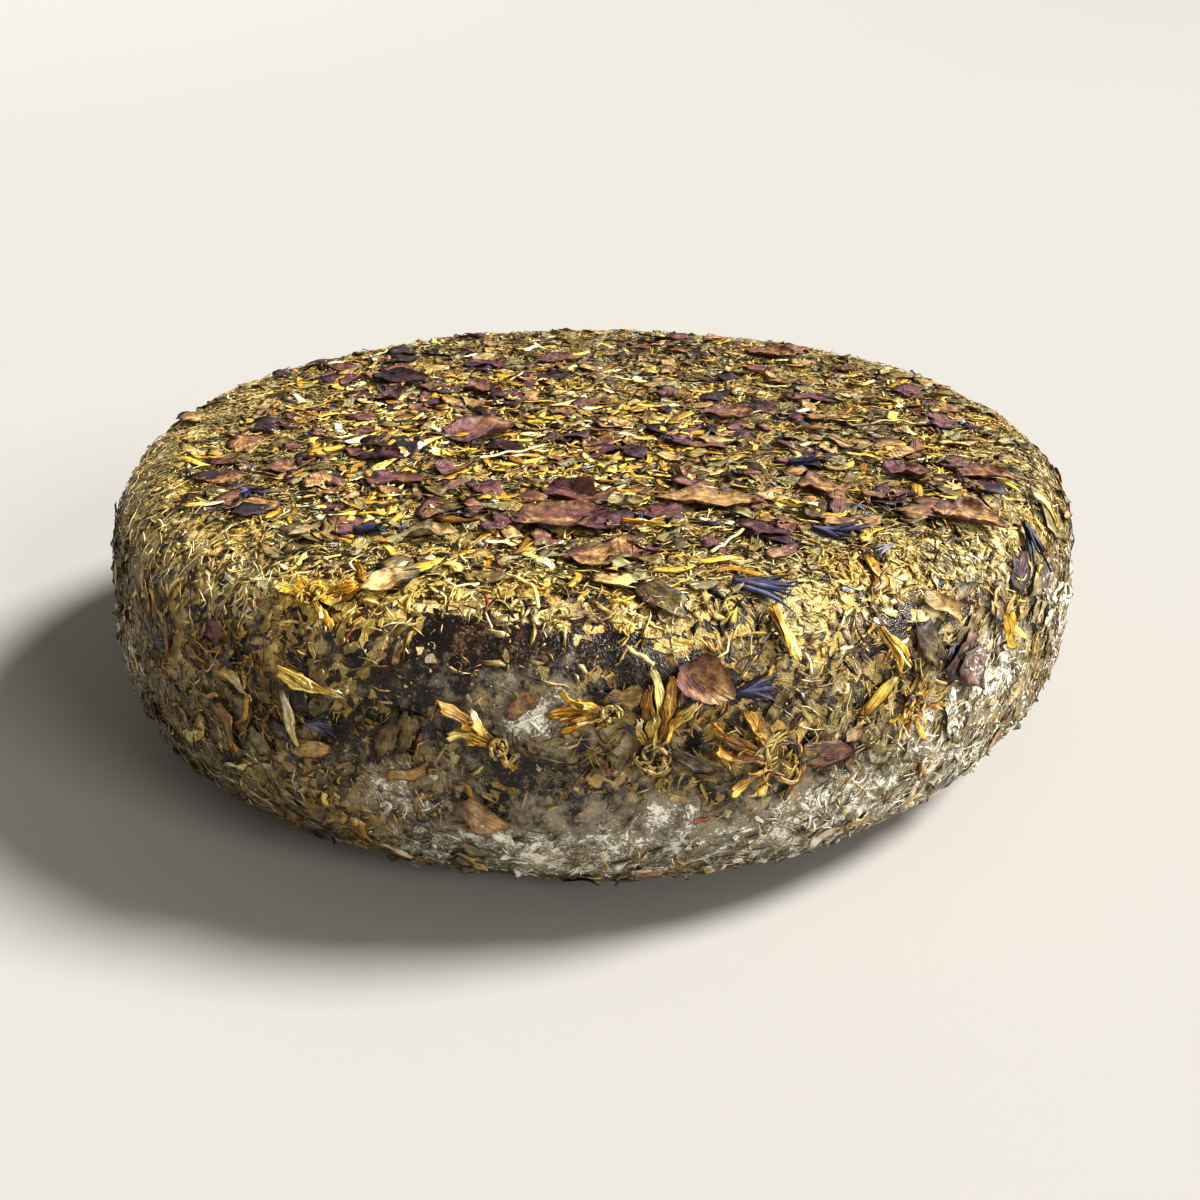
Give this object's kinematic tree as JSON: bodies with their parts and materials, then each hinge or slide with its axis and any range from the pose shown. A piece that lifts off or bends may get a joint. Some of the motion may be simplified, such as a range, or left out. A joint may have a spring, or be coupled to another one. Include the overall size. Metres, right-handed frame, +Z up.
{
  "type": "cheese wheel",
  "caption": "Whole round cheese with a low slumped wheel shape and rounded edges, its rind crusted in dried petals, flower heads, herbs and straw under patches of white mould.",
  "frame": {"origin": "middle of the flat underside, on the surface the cheese stands on", "axes": "+Z up through the middle of the wheel; -Y is the side with the most flower heads stuck to its wall"},
  "size_m": [0.3063, 0.306, 0.0885],
  "materials": {
    "rind": "damp waxy cheese rind crusted with crumbled dried herbs and white mould",
    "rose_petal": "dried crinkled rose petal, satin",
    "dried_leaf": "dried herb leaf, matte",
    "marigold": "dried marigold ray florets, satin",
    "cornflower": "dried cornflower florets, matte",
    "straw": "pale dry straw, satin"
  },
  "bodies": {
    "root": {"cheese_wheel": "rind", "cornflower_floret_01": "cornflower", "cornflower_floret_02": "cornflower", "cornflower_floret_03": "cornflower", "cornflower_floret_04": "cornflower", "cornflower_floret_05": "cornflower", "cornflower_floret_06": "cornflower", "cornflower_floret_07": "cornflower", "cornflower_floret_08": "cornflower", "leaf_01": "dried_leaf", "leaf_02": "dried_leaf", "leaf_03": "dried_leaf", "leaf_04": "dried_leaf", "marigold_floret_01": "marigold", "marigold_floret_02": "marigold", "marigold_floret_03": "marigold", "marigold_floret_04": "marigold", "marigold_floret_05": "marigold", "marigold_floret_06": "marigold", "marigold_floret_07": "marigold", "marigold_head_01": "marigold", "marigold_head_02": "marigold", "marigold_head_03": "marigold", "marigold_head_04": "marigold", "marigold_head_05": "marigold", "marigold_head_06": "marigold", "rose_petal_01": "rose_petal", "rose_petal_02": "rose_petal", "rose_petal_03": "rose_petal", "rose_petal_04": "rose_petal", "rose_petal_05": "rose_petal", "rose_petal_06": "rose_petal", "rose_petal_07": "rose_petal", "rose_petal_08": "rose_petal", "rose_petal_09": "rose_petal", "rose_petal_10": "rose_petal", "rose_petal_11": "rose_petal", "rose_petal_12": "rose_petal", "rose_petal_13": "rose_petal", "rose_petal_14": "rose_petal", "rose_petal_15": "rose_petal", "rose_petal_16": "rose_petal", "rose_petal_17": "rose_petal", "rose_petal_18": "rose_petal", "rose_petal_19": "rose_petal", "rose_petal_20": "rose_petal", "rose_petal_21": "rose_petal", "rose_petal_22": "rose_petal", "rose_petal_23": "rose_petal", "straw_01": "straw", "straw_02": "straw", "straw_03": "straw", "straw_04": "straw", "straw_05": "straw"}
  },
  "joints": []
}
